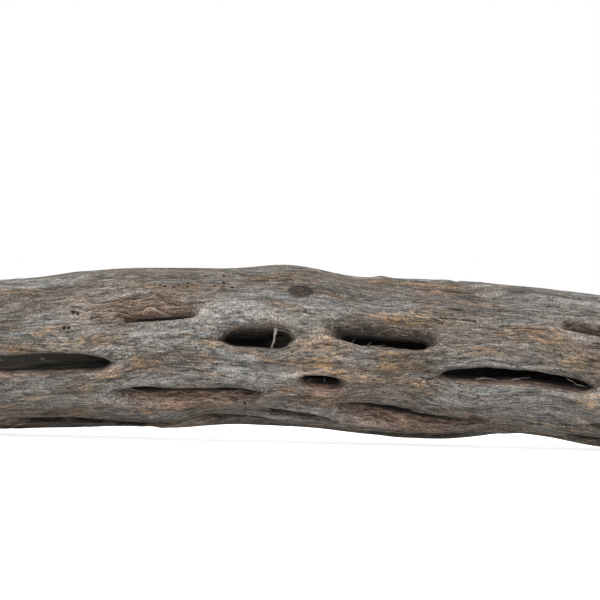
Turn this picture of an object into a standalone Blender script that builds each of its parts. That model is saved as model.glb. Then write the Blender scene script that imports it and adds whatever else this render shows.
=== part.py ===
# Cholla cactus skeleton: the hollow lattice of wood that is left of a dead cholla stem.
#
# The stem lies along X on the plane Z = 0 and is usually seen from -Y. Angles round it are in degrees:
# 0 faces -Y, 90 is the top, -90 the underside and 180 the back.
#
# The wood starts as a plain tube of grid lines, which are its grain. Each window is a slit along the
# grain that is pushed open, so that the grain parts round it, as it does in the real wood.

import bmesh
import bpy
import numpy as np

# Driving dimensions, in metres
LENGTH = 0.300            # from one sawn end to the other
WALL = 0.0082             # thickness of the wood at the crest of a strand
OUTWARD_SHARE = 0.62      # part of the wall that stands outside the rims of the windows
RIM_SHARE = 0.24          # thickness of a window's rim, as a part of WALL
LIP_WIDTH = 0.0046        # reach of the rounded lip behind a rim
GRAIN_RADIUS = 0.0205     # radius on which an angle is turned into a width
OPENING_REACH = 0.020     # distance at which a window's push on the grain has halved
OPENING_LIMIT = 0.030     # distance at which that push ends
BASE_HEIGHT = 0.0256      # height of the stem's centre where its rise is zero
BLUNTNESS = 0.22          # how full the ends of the windows are, 0 for an ellipse

# Mesh of the grain
COLUMNS = 54
ROWS = 40
OVERCUT = 0.006           # the grain runs this far past each sawn end before it is sawn off
SAW_HEIGHT = 0.080
SAW_WIDTH = 0.120

# Where the stem is thick and thin: (place along the length, outer radius), in millimetres
RADIUS_STATIONS = [
    (-150, 24.6), (-125, 24.3), (-97, 24.0), (-65, 25.0), (-39, 25.6), (-19, 25.4), (0, 25.9),
    (19, 25.2), (45, 25.7), (65, 23.9), (77, 23.7), (97, 24.4), (125, 24.9), (150, 24.7),
]

# How the stem arches: (place along the length, rise of its centre), in millimetres
RISE_STATIONS = [
    (-150, -2.0), (-125, -1.9), (-97, 0.0), (-65, 3.0), (-39, 4.2), (-19, 5.2), (0, 4.9),
    (19, 3.2), (45, 2.2), (65, 2.8), (77, 2.3), (97, 0.0), (125, -1.7), (150, -1.9),
]

# How the stem wanders to and fro: (place along the length, shift of its centre in Y), in millimetres
SWAY_STATIONS = [(-150, 0.0), (-90, 1.2), (-30, -0.8), (40, 0.9), (100, -0.7), (150, 0.0)]

# Windows: centre along the length (mm), angle (degrees), length (mm), width (mm), tilt (degrees) and
# taper, which is positive where the +X end is the wider one
WINDOWS = [
    # Seen from the front
    (-88, -7.5, 57, 5.6, -3, 0.05),
    (-45, 24, 24, 2.8, 2, 0.20),
    (-13.3, 5.8, 20.5, 5.0, 1, 0.30),
    (27, 13.6, 27, 3.8, -1, 0.10),
    (7.3, -23, 12, 4.0, 0, 0.10),
    (-34, -37, 43, 4.6, -2.5, -0.05),
    (36.4, -48.4, 45.5, 6.4, -6, 0.00),
    (68.5, -13.6, 46, 4.2, -2, 0.00),
    (-67.5, -67, 54, 6.0, -1, 0.00),
    (0, -57, 20, 4.8, -6, 0.00),
    (117, -47, 48, 5.8, 3, 0.05),
    (108, 30, 48, 2.8, 0, 0.20),
    # Left end
    (-140, 24, 44, 6.4, 0, 0.00),
    (-140, -36, 46, 6.2, 0, 0.00),
    (-112, 58, 40, 6.0, 0, 0.10),
    # Right end
    (136, -6, 44, 6.2, 0, 0.00),
    (120, 68, 44, 6.0, 0, -0.10),
    # Top
    (-92, 97, 40, 6.4, 2, 0.05),
    (-34, 107, 44, 6.4, -2, 0.00),
    (34, 97, 46, 6.6, 0, -0.05),
    (98, 104, 42, 6.4, 2, 0.05),
    # Back, where solid wood faces each front window, so that the windows show the dark far wall
    (-142, 134, 40, 6.2, 0, 0.05),
    (-66, 137, 42, 6.6, 2, 0.10),
    (0, 139, 42, 6.4, -3, 0.00),
    (66, 136, 42, 6.8, 0, -0.10),
    (138, 134, 42, 6.2, 0, 0.00),
    (-104, 167, 44, 6.6, 2, 0.05),
    (-45, 171, 34, 6.2, 0, -0.10),
    (17, 186, 38, 5.8, -2, 0.05),
    (63, 169, 34, 6.2, 0, 0.10),
    (108, 165, 36, 6.4, 2, 0.00),
    (147, 168, 30, 6.0, 0, 0.00),
    (-141, 199, 42, 6.2, 0, 0.00),
    (-87, 207, 40, 5.6, -2, 0.05),
    (-36, 201, 38, 6.4, 2, -0.05),
    (36, 213, 36, 6.2, 0, 0.10),
    (87, 214, 38, 6.4, -2, 0.00),
    (124, 196, 40, 6.4, 0, 0.05),
    # Underside, with a broad strand left below each end
    (-148, 229, 30, 6.0, 0, 0.00),
    (-104, 232, 38, 6.4, 2, 0.00),
    (-54, 230, 40, 6.4, 0, 0.05),
    (-2, 228, 38, 6.4, -2, -0.05),
    (54, 240, 38, 6.4, 0, 0.00),
    (116, 240, 36, 6.2, 0, 0.05),
    (154, 234, 22, 6.0, 0, 0.00),
    (-76, 258, 38, 6.4, 2, 0.00),
    (2, 260, 36, 6.2, -2, 0.00),
    (81, 262, 36, 6.2, 0, 0.05),
    (-21, 290, 24, 5.6, 0, 0.00),
    (40, 281, 34, 6.0, 0, 0.00),
    (104, 287, 34, 6.0, 2, 0.00),
]

# Shallow dents that don't go through: centre (mm), angle (degrees), half length (mm), half width (mm),
# depth (mm)
DENTS = [
    (61, 50, 20, 4.5, 1.6),
    (-120, -80, 16, 5.0, 0.6),
    (1, 45, 4, 3.0, 0.7),
]

# Slow swellings of the wood: waves along the length (per metre), waves round the stem, start (radians)
# and height (mm)
SWELLINGS = [(9.0, 2, 0.4, 0.25), (17.0, 3, 2.1, 0.22), (-23.0, 5, 4.0, 0.16), (31.0, 4, 1.2, 0.12)]

WOOD_COLOUR = (0.205, 0.175, 0.148, 1.0)
WOOD_ROUGHNESS = 0.85
MILLIMETRE = 0.001
HAIR = 1e-9               # tells the two banks of a slit apart


# Smooth curve through (place, value) stations in millimetres, read at places in metres
def through_stations(stations, place):
    knots = np.array([station[0] for station in stations]) * MILLIMETRE
    values = np.array([station[1] for station in stations]) * MILLIMETRE
    slopes = np.gradient(values, knots)
    first = np.clip(np.searchsorted(knots, place) - 1, 0, len(knots) - 2)
    span = knots[first + 1] - knots[first]
    part = np.clip((place - knots[first]) / span, 0.0, 1.0)
    rest = 1.0 - part
    start = (1.0 + 2.0 * part) * rest * rest * values[first] + part * rest * rest * span * slopes[first]
    end = part * part * (3.0 - 2.0 * part) * values[first + 1] - part * part * rest * span * slopes[first + 1]
    return start + end


def wrapped(angle):
    return (angle + np.pi) % (2.0 * np.pi) - np.pi


# The slit that each window starts as, on the nearest grid line: row, first and last column, which may
# lie past a sawn end, with the window's own half sizes, tilt and taper
def slits_on_grid():
    spacing = (LENGTH + 2.0 * OVERCUT) / COLUMNS
    slits = []
    for centre, angle, length, width, tilt, taper in WINDOWS:
        half_length = 0.5 * length * MILLIMETRE
        half_width = 0.5 * width * MILLIMETRE
        reach = half_length + half_width
        middle = centre * MILLIMETRE + 0.5 * LENGTH + OVERCUT
        first = int(round((middle - reach) / spacing))
        last = int(round((middle + reach) / spacing))
        slits.append({
            "row": int(round(angle / 360.0 * ROWS)) % ROWS,
            "first": first,
            "last": last,
            "start": first * spacing - 0.5 * LENGTH - OVERCUT,
            "end": last * spacing - 0.5 * LENGTH - OVERCUT,
            "centre": centre * MILLIMETRE,
            "angle": np.radians(angle),
            "half_length": half_length,
            "half_width": half_width,
            "tilt": np.radians(tilt),
            "taper": taper,
        })
    return slits


# Push of every window on the grain at rest. Round a slit the grain lies on rays, which leave its rim
# and run outwards: each point moves like the rim point at the foot of its ray, less with distance.
# Between windows the pushes are shared by nearness, so a rim obeys its own window alone. Also returns
# how far each point ends up behind the nearest rim.
def open_windows(place, angle, bank, slits):
    push = np.zeros(len(place), dtype=complex)
    shares = np.full(len(place), 1.0 / OPENING_REACH)
    lip = np.full(len(place), 1.0)
    for number, slit in enumerate(slits):
        middle = 0.5 * (slit["start"] + slit["end"])
        reach = 0.5 * (slit["end"] - slit["start"])
        slit_angle = 2.0 * np.pi * slit["row"] / ROWS
        across = GRAIN_RADIUS * wrapped(angle - slit_angle)
        across = np.where(np.abs(bank) == number + 1, np.sign(bank) * HAIR, across)
        rest = (place - middle) + 1j * across
        scaled = rest / reach
        spread = scaled + np.sqrt(scaled - 1.0) * np.sqrt(scaled + 1.0)
        size = np.maximum(np.abs(spread), 1.0)
        along_ray = spread.real / size
        across_ray = spread.imag / size
        outline_x = slit["half_length"] * along_ray * (1.0 + BLUNTNESS * across_ray ** 2)
        fullness = (1.0 + BLUNTNESS * along_ray ** 2) * (1.0 + slit["taper"] * along_ray)
        outline_y = slit["half_width"] * across_ray * fullness
        shift = slit["centre"] - middle + 1j * GRAIN_RADIUS * wrapped(slit["angle"] - slit_angle)
        rim = shift + (outline_x + 1j * outline_y) * np.exp(1j * slit["tilt"])
        move = (rim - reach * along_ray) / size
        beyond = np.maximum(np.abs(place - middle) - reach, 0.0)
        distance = np.hypot(beyond, across)
        fade = np.clip(1.0 - (distance / OPENING_LIMIT) ** 2, 0.0, 1.0) ** 2
        share = fade / (distance + HAIR)
        push += share * move
        shares += share
        lip = np.minimum(lip, np.abs(rest + move - rim))
    return push / shares, lip


# Radius of the sheet that runs through the window rims, at each point
def sheet_radius(place, angle):
    radius = through_stations(RADIUS_STATIONS, place) - OUTWARD_SHARE * WALL
    for waves_along, waves_round, start, height in SWELLINGS:
        swelling = np.cos(2.0 * np.pi * waves_along * place + waves_round * angle + start)
        radius = radius + height * MILLIMETRE * swelling
    for centre, dent_angle, half_length, half_width, depth in DENTS:
        along = (place / MILLIMETRE - centre) / half_length
        across = GRAIN_RADIUS / MILLIMETRE * wrapped(angle - np.radians(dent_angle)) / half_width
        radius = radius - depth * MILLIMETRE * np.exp(-(along ** 2) - across ** 2)
    return radius


# The grain as a tube of quads, slit along the windows and not yet opened
def slit_tube(slits):
    grid = bmesh.new()
    bmesh.ops.create_grid(grid, x_segments=COLUMNS, y_segments=ROWS, size=0.5)
    column = grid.verts.layers.int.new("column")
    row = grid.verts.layers.int.new("row")
    for vert in grid.verts:
        vert[column] = round((vert.co.x + 0.5) * COLUMNS)
        vert[row] = round((vert.co.y + 0.5) * ROWS) % ROWS
        turn = 2.0 * np.pi * vert[row] / ROWS
        vert.co = (vert.co.x * (LENGTH + 2.0 * OVERCUT),
                   -GRAIN_RADIUS * np.cos(turn), GRAIN_RADIUS * np.sin(turn))
    bmesh.ops.remove_doubles(grid, verts=grid.verts, dist=0.00001)
    by_place = {}
    for edge in grid.edges:
        left, right = sorted(edge.verts, key=lambda vert: vert[column])
        if left[row] == right[row]:
            by_place[(left[row], left[column])] = edge
    cuts = []
    for slit in slits:
        for start in range(max(slit["first"], 0), min(slit["last"], COLUMNS)):
            cuts.append(by_place[(slit["row"], start)])
    bmesh.ops.split_edges(grid, edges=cuts)
    return grid


# For each vertex: 0, or the number of its window from 1, negative on the lower bank of the slit
def banks_of(grid, slits):
    column = grid.verts.layers.int["column"]
    row = grid.verts.layers.int["row"]
    banks = []
    for vert in grid.verts:
        bank = 0
        for number, slit in enumerate(slits):
            if vert[row] != slit["row"] or not slit["first"] < vert[column] < slit["last"]:
                continue
            neighbour_rows = {other[row] for face in vert.link_faces for other in face.verts}
            upper = (slit["row"] + 1) % ROWS in neighbour_rows
            bank = (number + 1) if upper else -(number + 1)
        banks.append(bank)
    return np.array(banks)


def make_grain_mesh():
    slits = slits_on_grid()
    grid = slit_tube(slits)
    column = grid.verts.layers.int["column"]
    row = grid.verts.layers.int["row"]
    columns = np.array([vert[column] for vert in grid.verts])
    rows = np.array([vert[row] for vert in grid.verts])
    place = columns / COLUMNS * (LENGTH + 2.0 * OVERCUT) - 0.5 * LENGTH - OVERCUT
    angle = 2.0 * np.pi * rows / ROWS
    push, lip = open_windows(place, angle, banks_of(grid, slits), slits)
    place = place + push.real
    angle = angle + push.imag / GRAIN_RADIUS
    radius = sheet_radius(place, angle)
    centre_y = through_stations(SWAY_STATIONS, place)
    centre_z = BASE_HEIGHT + through_stations(RISE_STATIONS, place)
    points = np.column_stack((place, centre_y - radius * np.cos(angle), centre_z + radius * np.sin(angle)))
    for vert, point in zip(grid.verts, points):
        vert.co = point
    bmesh.ops.recalc_face_normals(grid, faces=grid.faces)
    mesh = bpy.data.meshes.new("cholla_skeleton")
    grid.to_mesh(mesh)
    grid.free()
    roundness = np.clip(1.0 - lip / LIP_WIDTH, 0.0, 1.0)
    return mesh, np.sqrt(1.0 - roundness ** 2)


# Weathered grey-brown wood, dry and matt
def wood_material():
    material = bpy.data.materials.new("weathered_wood")
    material.use_nodes = True
    shader = material.node_tree.nodes["Principled BSDF"]
    shader.inputs["Base Color"].default_value = WOOD_COLOUR
    shader.inputs["Roughness"].default_value = WOOD_ROUGHNESS
    shader.inputs["Metallic"].default_value = 0.0
    return material


# Block that keeps what lies between the saw cuts and above the resting plane
def make_saw_block(collection):
    bpy.ops.mesh.primitive_cube_add(size=1.0, location=(0.0, 0.0, 0.5 * SAW_HEIGHT))
    block = bpy.context.object
    block.name = "saw_block"
    block.scale = (LENGTH, SAW_WIDTH, SAW_HEIGHT)
    bpy.ops.object.transform_apply(location=False, rotation=False, scale=True)
    block.hide_render = True
    block.display_type = "WIRE"
    for other in list(block.users_collection):
        other.objects.unlink(block)
    collection.objects.link(block)
    return block


def make_skeleton(collection, saw_block):
    mesh, wall_weights = make_grain_mesh()
    skeleton = bpy.data.objects.new("cholla_skeleton", mesh)
    collection.objects.link(skeleton)
    mesh.materials.append(wood_material())
    mesh.shade_smooth()
    wall = skeleton.vertex_groups.new(name="wall")
    for index, weight in enumerate(wall_weights):
        wall.add([index], float(weight), "REPLACE")
    shell = skeleton.modifiers.new("wall", "SOLIDIFY")
    shell.thickness = WALL
    shell.offset = 2.0 * OUTWARD_SHARE - 1.0
    shell.vertex_group = wall.name
    shell.thickness_vertex_group = RIM_SHARE
    saw = skeleton.modifiers.new("saw_cuts", "BOOLEAN")
    saw.operation = "INTERSECT"
    saw.solver = "EXACT"
    saw.object = saw_block
    return skeleton


def main():
    for old in list(bpy.data.objects):
        bpy.data.objects.remove(old, do_unlink=True)
    parts = bpy.data.collections.new("cholla_cactus_skeleton")
    cutters = bpy.data.collections.new("cutters")
    bpy.context.scene.collection.children.link(parts)
    bpy.context.scene.collection.children.link(cutters)
    make_skeleton(parts, make_saw_block(cutters))


main()
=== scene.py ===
import bpy
import numpy as np
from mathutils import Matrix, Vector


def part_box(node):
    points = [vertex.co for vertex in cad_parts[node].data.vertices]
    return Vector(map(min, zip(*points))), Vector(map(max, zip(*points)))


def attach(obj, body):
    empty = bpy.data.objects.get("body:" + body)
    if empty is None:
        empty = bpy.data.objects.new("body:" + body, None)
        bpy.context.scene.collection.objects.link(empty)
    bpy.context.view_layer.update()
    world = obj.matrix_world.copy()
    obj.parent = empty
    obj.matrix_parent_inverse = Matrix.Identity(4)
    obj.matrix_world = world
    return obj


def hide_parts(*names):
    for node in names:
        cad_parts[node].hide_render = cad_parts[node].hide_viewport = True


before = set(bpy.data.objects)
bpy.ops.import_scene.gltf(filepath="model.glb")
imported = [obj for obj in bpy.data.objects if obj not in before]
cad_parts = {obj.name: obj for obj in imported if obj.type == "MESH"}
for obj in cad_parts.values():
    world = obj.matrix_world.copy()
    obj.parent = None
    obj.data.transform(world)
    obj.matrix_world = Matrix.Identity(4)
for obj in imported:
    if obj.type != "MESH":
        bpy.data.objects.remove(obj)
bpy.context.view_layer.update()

lowCorner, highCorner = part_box("cholla_skeleton")
stemLength = highCorner[0] - lowCorner[0]
print("frame loaded, stem", round(stemLength * 1000, 1), "mm long")

# The stem lies along X. Angles round it are in degrees: 0 faces -Y, 90 is the top, -90 the underside.
# Places and sizes are in millimetres in the lists and in metres in the dictionaries, but where a note says
# otherwise.
mm = 0.001
hair = 1e-9  # tells the two banks of a slit apart

stem = {
    "wallOut": 0.0051,  # wood outside the sheet through the window rims
    "wallIn": 0.0031,  # wood inside that sheet
    "innerLip": 0.0022,  # reach of the rounded lip behind a rim on the inside
    "lipVariety": 0.35,  # how much the lips differ along the rims
    "lipNoise": (0.016, 18, 23),  # noise by which they differ: length of one, how many fit round, seed
    "lipFullness": (2.3, 1.12),  # of narrow and of wide lips: 2 is an elliptic lip, 1 a straight slope
    "lipWidths": (1.8, 3.2),  # narrow and wide, in millimetres
    "lipTurn": 0.6,  # share of a window's height over which its lower lip turns into the upper
    "ragged": 0.00038,  # how far the rims wander
    "rimSteps": ((0.0065, 0.7), (0.0028, 0.5)),  # lengths of the steps they take, with their shares
    "rimHeights": 40,  # heights drawn for each bank
    "rimSpan": 0.04,  # they start this far before a window's middle
    "rimSeed": 300,  # of the first window's steps
    "grainRadius": 0.0205,  # radius on which an angle is turned into a width
    "openingReach": 0.020,  # distance at which a window's push on the grain has halved
    "openingLimit": 0.030,  # distance at which that push ends
    "endFade": 0.006,  # the grain is not pushed lengthwise nearer than this to a sawn end
    "baseHeight": 0.0256,  # height of the stem's centre where its rise is zero
    "bluntness": 0.22,  # how full the ends of the windows are
    "reliefAtRims": 0.5,  # share of the grain's relief that is left on a rim
    "reliefInside": 0.5,  # share of it inside the tube
    "reliefWhole": 1.2,  # how far behind a rim it is whole, in widths of the lip
    "columns": 210,
    "rows": 234,
    "sawEdge": 0.0003,  # how far the sawn edges are worn back
    "sawReach": 0.8,  # how far in that wear goes, in columns
}

# Where the stem is thick and thin: (place along the length, outer radius)
radiusStations = [
    (-150, 24.6), (-125, 24.3), (-97, 24), (-65, 25), (-39, 25.6), (-19, 25.4), (0, 25.9),
    (19, 25.2), (45, 25.7), (65, 23.9), (77, 23.7), (97, 24.4), (125, 24.9), (150, 24.7),
]

# How the stem arches: (place along the length, rise of its centre)
riseStations = [
    (-150, -2), (-125, -1.9), (-97, 0), (-65, 3), (-39, 4.2), (-19, 5.2), (0, 4.9),
    (19, 3.2), (45, 2.2), (65, 2.8), (77, 2.3), (97, 0), (125, -1.7), (150, -1.9),
]

# How the stem wanders to and fro: (place along the length, shift of its centre in Y)
swayStations = [(-150, 0.0), (-90, 1.2), (-30, -0.8), (40, 0.9), (100, -0.7), (150, 0.0)]

# Windows: centre, angle, length, width, tilt (degrees), taper, positive where the +X end is wider, and
# how far the lips above and below the window slope
frontWindows = [
    (-88, -7.5, 57, 5, -3, 0.05, 1.6, 1.6),
    (-44, 23, 19, 1, 3, 0.20, 6.1, 1.4),
    (-13.2, 5.8, 20.5, 4.4, 1, 0.35, 2.6, 1),
    (27, 12.6, 27, 3, -1, 0.10, 5.6, 1),
    (7.3, -22.8, 11.5, 3.2, 0, 0.10, 1.4, 2.6),
    (-34, -35.7, 43, 3.4, -2.3, 0.14, 0.8, 3.2),
    (36.4, -47.4, 45.5, 5.2, -8, 0.14, 0.7, 3.6),
    (68.5, -12.8, 46, 3.6, -2, 0, 1.6, 1.4),
    (-66, -66.5, 54, 1.6, -8, -0.35, 0.7, 0.7),
    (0, -57, 20, 4.8, -6, 0, 0.9, 2),
    (117, -47, 48, 5.6, 3, 0.05, 0.9, 2.6),
    (108, 30, 48, 1.6, 0, 0.20, 3.6, 1.4),
]
# The rest, which the photograph doesn't show, all have plain lips
plainLip = 1.7
hiddenWindows = [
    # left end
    (-140, 24, 44, 6.4, 0, 0), (-140, -36, 46, 6.2, 0, 0), (-115.5, 58, 35, 6, 0, 0.10),
    # right end
    (136, -6, 44, 6.2, 0, 0), (120, 68, 44, 6, 0, -0.10),
    # top
    (-92, 97, 40, 6.4, 2, 0.05), (-34, 107, 44, 6.4, -2, 0), (34, 97, 46, 6.6, 0, -0.05),
    (98, 104, 42, 6.4, 2, 0.05),
    # back, where solid wood faces each front window, so that the windows show the dark far wall
    (-142, 134, 40, 6.2, 0, 0.05), (-66, 137, 42, 6.6, 2, 0.10), (0, 139, 42, 6.4, -3, 0),
    (66, 136, 42, 6.8, 0, -0.10), (138, 134, 42, 6.2, 0, 0), (-104, 167, 44, 6.6, 2, 0.05),
    (-45, 171, 34, 6.2, 0, -0.10), (17, 186, 38, 5.8, -2, 0.05), (63, 169, 34, 6.2, 0, 0.10),
    (108, 165, 36, 6.4, 2, 0), (147, 168, 30, 6, 0, 0), (-141, 199, 42, 6.2, 0, 0),
    (-87, 207, 40, 5.6, -2, 0.05), (-36, 201, 38, 6.4, 2, -0.05), (36, 213, 36, 6.2, 0, 0.10),
    (87, 214, 38, 6.4, -2, 0), (124, 196, 40, 6.4, 0, 0.05),
    # underside, with a broad strand left below each end
    (-148, 229, 30, 6, 0, 0), (-104, 232, 38, 6.4, 2, 0), (-54, 230, 40, 6.4, 0, 0.05),
    (-2, 228, 38, 6.4, -2, -0.05), (54, 240, 38, 6.4, 0, 0), (116, 240, 36, 6.2, 0, 0.05),
    (154, 234, 22, 6, 0, 0), (-76, 258, 38, 6.4, 2, 0), (2, 260, 36, 6.2, -2, 0),
    (81, 262, 36, 6.2, 0, 0.05), (-21, 290, 24, 5.6, 0, 0), (40, 281, 34, 6, 0, 0),
    (104, 287, 34, 6, 2, 0),
]
windows = frontWindows + [row + (plainLip, plainLip) for row in hiddenWindows]

# Shallow dents: centre, angle, half length, half width, depth
dents = [
    (61, 50, 20, 4.5, 1.6), (26, 90, 2.6, 7, -0.9), (-62, 31, 8, 3, 1), (12.5, 17, 5, 3, 1),
    (69, 66, 3, 2, 0.5), (-120, -80, 16, 5, 0.6), (1, 45, 4, 3, 0.7),
]

# Slow swellings: waves along the length (per metre), waves round the stem, start (radians), height
swellings = [(9.0, 2, 0.4, 0.25), (17.0, 3, 2.1, 0.22), (-23.0, 5, 4.0, 0.16), (31.0, 4, 1.2, 0.12)]

# Ridges that follow the grain: height (m), length of one (m), how many fit round, seed
ridges = [(0.00046, 0.034, 26, 3), (0.00028, 0.021, 58, 5), (0.00014, 0.013, 110, 7)]
# Furrows are ridges folded at their zero lines, which cuts narrow creases: depth, sharpness, then as above
furrows = [(0.00042, 0.16, 0.027, 48, 11), (0.00026, 0.14, 0.017, 80, 13)]
# How the grain's colours swerve: shift (mm), length of a swerve (m), how many fit round, seed
swirls = [(2.0, 0.024, 12, 31), (0.7, 0.011, 24, 37)]
noiseSpan = 0.5  # length that the noise covers, with the stem in its middle
reliefRange = 0.0016  # height over which the relief's painted shade turns from dark in the furrows to pale on the ridges


# Cubic Hermite curve through the stations, with slopes taken from their neighbours
def throughStations(stations, place):
    knots, values = np.array(stations).T * mm
    slopes = np.gradient(values, knots)
    first = np.clip(np.searchsorted(knots, place) - 1, 0, len(knots) - 2)
    span = knots[first + 1] - knots[first]
    part = np.clip((place - knots[first]) / span, 0.0, 1.0)
    rest = 1.0 - part
    start = (1.0 + 2.0 * part) * rest ** 2 * values[first] + part * rest ** 2 * span * slopes[first]
    end = (1.0 + 2.0 * rest) * part ** 2 * values[first + 1] - rest * part ** 2 * span * slopes[first + 1]
    return start + end


# Angle brought to between -pi and pi
def wrapped(angle):
    return (angle + np.pi) % (2.0 * np.pi) - np.pi


# Smooth step: 0 below low, 1 above high, 3t^2 - 2t^3 between them
def smoothStep(value, low, high):
    t = np.clip((value - low) / (high - low), 0.0, 1.0)
    return t * t * (3.0 - 2.0 * t)


# The slit on the grid that each window starts as. It may run past a sawn end: inside holds the grid's
# columns between its tips, and rim the tips too.
def gridSlits():
    spacing = stemLength / stem["columns"]
    slits = []
    for number, (centre, angle, length, width, tilt, taper, upperLip, lowerLip) in enumerate(windows):
        reach = 0.5 * (length + width) * mm
        first = int(round((centre * mm - reach + 0.5 * stemLength) / spacing))
        last = int(round((centre * mm + reach + 0.5 * stemLength) / spacing))
        row = int(round(angle / 360.0 * stem["rows"])) % stem["rows"]
        slits.append({
            "row": row, "rowAngle": 2.0 * np.pi * row / stem["rows"],
            "inside": slice(max(first + 1, 0), min(last, stem["columns"] + 1)),
            "rim": slice(max(first, 0), min(last, stem["columns"]) + 1),
            "middle": 0.5 * (first + last) * spacing - 0.5 * stemLength,
            "reach": 0.5 * (last - first) * spacing,
            "centre": centre * mm, "angle": np.radians(angle),
            "halfLength": 0.5 * length * mm, "halfWidth": 0.5 * width * mm,
            "tilt": np.radians(tilt), "taper": taper, "upperLip": upperLip * mm, "lowerLip": lowerLip * mm,
            "seed": stem["rimSeed"] + number,
        })
    return slits


# Heights at even steps along a line, joined by smooth steps
def alongLine(heights, line, along):
    step = np.clip(np.floor(along).astype(int), 0, heights.shape[1] - 2)
    part = smoothStep(along - step, 0.0, 1.0)
    return heights[line, step] * (1.0 - part) + heights[line, step + 1] * part


# How a rim wanders off its smooth outline: noise in even steps along each bank, fading to the tips
def rimWander(outlineX, acrossRay, slit):
    draw = np.random.default_rng(slit["seed"])
    bank = (acrossRay > 0.0).astype(int)
    wander = 0.0
    for stepLength, share in stem["rimSteps"]:
        heights = draw.uniform(-1.0, 1.0, (2, stem["rimHeights"]))
        wander = wander + share * alongLine(heights, bank, (outlineX + stem["rimSpan"]) / stepLength)
    return stem["ragged"] * wander * np.abs(acrossRay)


# Push of all windows on the grain. With z the place from a slit's middle over its half length,
# w = z + sqrt(z - 1) sqrt(z + 1) lies on a ray that leaves the rim: each point moves like the rim point
# at the foot of its ray, divided by |w|. Between windows the pushes are shared by nearness. Also returns
# how far each point is behind the nearest rim, the same over the width of that rim's lip, and that width.
def openWindows(place, angle, bank, slits):
    push = np.zeros(len(place), dtype=complex)
    shares = np.full(len(place), 1.0 / stem["openingReach"])
    lip = np.full(len(place), 1.0)
    ratio = np.full(len(place), 100.0)
    lipWidth = np.full(len(place), stem["lipWidths"][0] * mm)
    for number, slit in enumerate(slits):
        across = stem["grainRadius"] * wrapped(angle - slit["rowAngle"])
        across = np.where(np.abs(bank) == number + 1, np.sign(bank) * hair, across)
        rest = (place - slit["middle"]) + 1j * across
        scaled = rest / slit["reach"]
        spread = scaled + np.sqrt(scaled - 1.0) * np.sqrt(scaled + 1.0)
        size = np.maximum(np.abs(spread), 1.0)
        alongRay = spread.real / size
        acrossRay = spread.imag / size
        outlineX = slit["halfLength"] * alongRay * (1.0 + stem["bluntness"] * acrossRay ** 2)
        fullness = (1.0 + stem["bluntness"] * alongRay ** 2) * (1.0 + slit["taper"] * alongRay)
        outlineY = slit["halfWidth"] * acrossRay * fullness
        outlineY = outlineY + rimWander(outlineX, acrossRay, slit)
        turned = stem["grainRadius"] * wrapped(slit["angle"] - slit["rowAngle"])
        shift = slit["centre"] - slit["middle"] + 1j * turned
        rim = shift + (outlineX + 1j * outlineY) * np.exp(1j * slit["tilt"])
        move = (rim - slit["reach"] * alongRay) / size
        beyond = np.maximum(np.abs(place - slit["middle"]) - slit["reach"], 0.0)
        distance = np.hypot(beyond, across)
        fade = np.clip(1.0 - (distance / stem["openingLimit"]) ** 2, 0.0, 1.0) ** 2
        share = fade / (distance + hair)
        push += share * move
        shares += share
        gap = np.abs(rest + move - rim)
        turn = smoothStep(acrossRay, -stem["lipTurn"], stem["lipTurn"])
        slope = slit["lowerLip"] + (slit["upperLip"] - slit["lowerLip"]) * turn
        lip = np.minimum(lip, gap)
        lipWidth = np.where(gap / slope < ratio, slope, lipWidth)
        ratio = np.minimum(ratio, gap / slope)
    push = push / shares
    toEnd = 0.5 * stemLength - np.abs(place)
    push = push.real * smoothStep(toEnd, 0.0, stem["endFade"]) + 1j * push.imag
    return push, lip, ratio, lipWidth


# Streaky noise from -1 to 1: each of cellsRound lines along the stem has random heights at even steps,
# starting at its own offset, and smooth steps blend along a line and from line to line.
def grainNoise(place, angle, cellLength, cellsRound, seed):
    draw = np.random.default_rng(seed)
    heights = draw.uniform(-1.0, 1.0, (cellsRound, int(noiseSpan / cellLength) + 3))
    offsets = draw.uniform(0.0, 1.0, cellsRound)
    around = (angle / (2.0 * np.pi)) % 1.0 * cellsRound
    lower = np.floor(around).astype(int)
    blend = smoothStep(around - lower, 0.0, 1.0)
    total = 0.0
    for line, weight in ((lower % cellsRound, 1.0 - blend), ((lower + 1) % cellsRound, blend)):
        along = (place + 0.5 * noiseSpan) / cellLength + offsets[line]
        total = total + weight * alongLine(heights, line, along)
    return total


# Height of the grain's own relief: ridges are noise as it is, furrows cut down where noise is near 0, in
# patches that are twice as long and three times as wide
def grainRelief(place, angle):
    relief = np.zeros(len(place))
    for height, *noise in ridges:
        relief += height * grainNoise(place, angle, *noise)
    for depth, sharpness, cellLength, cellsRound, seed in furrows:
        crease = np.abs(grainNoise(place, angle, cellLength, cellsRound, seed))
        wide = grainNoise(place, angle, 2.0 * cellLength, cellsRound // 3, seed + 1)
        patchy = smoothStep(wide, -0.3, 0.4)
        relief -= depth * patchy * (1.0 - smoothStep(crease, 0.0, sharpness))
    return relief


# Soft-edged ellipse on the wood: exp(-(u^2 + v^2)), where u and v are the distances from its middle along
# and round the stem over its half length and half width
def softEllipse(place, angle, centre, middleAngle, halfLength, halfWidth):
    u = (place / mm - centre) / halfLength
    v = stem["grainRadius"] / mm * wrapped(angle - np.radians(middleAngle)) / halfWidth
    return np.exp(-(u ** 2 + v ** 2))


# Radius of the sheet through the window rims: stations, less the outer wall, plus cosine swellings,
# less soft dents
def sheetRadius(place, angle):
    radius = throughStations(radiusStations, place) - stem["wallOut"]
    for wavesAlong, wavesRound, start, height in swellings:
        wave = 2.0 * np.pi * wavesAlong * place + wavesRound * angle + start
        radius = radius + height * mm * np.cos(wave)
    for *ellipse, depth in dents:
        radius = radius - depth * mm * softEllipse(place, angle, *ellipse)
    return radius


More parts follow.
